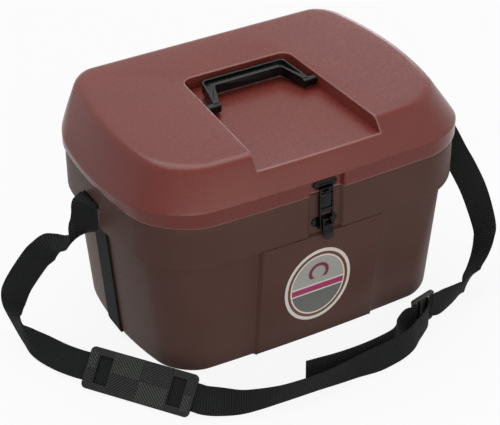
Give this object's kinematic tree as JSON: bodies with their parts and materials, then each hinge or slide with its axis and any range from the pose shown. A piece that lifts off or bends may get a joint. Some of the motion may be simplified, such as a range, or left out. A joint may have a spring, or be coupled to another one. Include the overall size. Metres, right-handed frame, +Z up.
{
  "type": "horse grooming box",
  "caption": "Moulded grooming box with a hinged lid, a handle sunk in the lid's top, a toggle latch and a webbing carrying strap with a shoulder pad.",
  "frame": {"origin": "on the ground under the middle of the box, the strap not counted", "axes": "+X to the right seen from the latch side, -Y out of the front with the latch, +Z up"},
  "size_m": [0.5282, 0.3675, 0.254],
  "materials": {
    "box_plastic": "fine moulded grain, semi-matt",
    "handle_plastic": "moulded, satin",
    "pad_plastic": "moulded, ribbed",
    "black_steel": "black lacquered sheet steel",
    "webbing": "woven polypropylene webbing"
  },
  "bodies": {
    "box": {"tub": "box_plastic", "latch_base": "black_steel", "latch_base_rivets": "black_steel", "lever_pin": "black_steel", "hinge_lower_leaf_left": "black_steel", "hinge_lower_leaf_right": "black_steel", "hinge_pin_left": "black_steel", "hinge_pin_right": "black_steel", "hinge_tub_rivets": "black_steel", "strap_under": "webbing", "strap_left": "webbing", "strap_right": "webbing", "strap_tail": "webbing", "shoulder_pad": "pad_plastic", "strap_slider": "handle_plastic"},
    "lid": {"lid": "box_plastic", "latch_keeper": "black_steel", "keeper_rivets": "black_steel", "hinge_upper_leaf_left": "black_steel", "hinge_upper_leaf_right": "black_steel", "hinge_lid_rivets": "black_steel"},
    "handle": {"handle": "handle_plastic"},
    "latch_lever": {"latch_lever": "black_steel", "bail_pins": "black_steel"},
    "latch_bail": {"latch_bail": "black_steel"}
  },
  "joints": [
    {"name": "lid_hinge", "type": "hinge", "parent": "box", "child": "lid", "pos_m": [0, 0.1489, 0.19615], "axis": [-1, 0, 0], "range_deg": [0, 105]},
    {"name": "handle_pivot", "type": "hinge", "parent": "lid", "child": "handle", "pos_m": [0, -0.0125, 0.2438], "axis": [1, 0, 0], "range_deg": [0, 160]},
    {"name": "lever_pivot", "type": "hinge", "parent": "box", "child": "latch_lever", "pos_m": [0, -0.1451, 0.164], "axis": [-1, 0, 0], "range_deg": [0, 120]},
    {"name": "bail_pivot", "type": "hinge", "parent": "latch_lever", "child": "latch_bail", "pos_m": [0, -0.1441, 0.1562], "axis": [-1, 0, 0], "range_deg": [-156, 0]}
  ],
  "couplings": [
    {"joint": "bail_pivot", "follows": "lever_pivot", "ratio": -1.3}
  ]
}
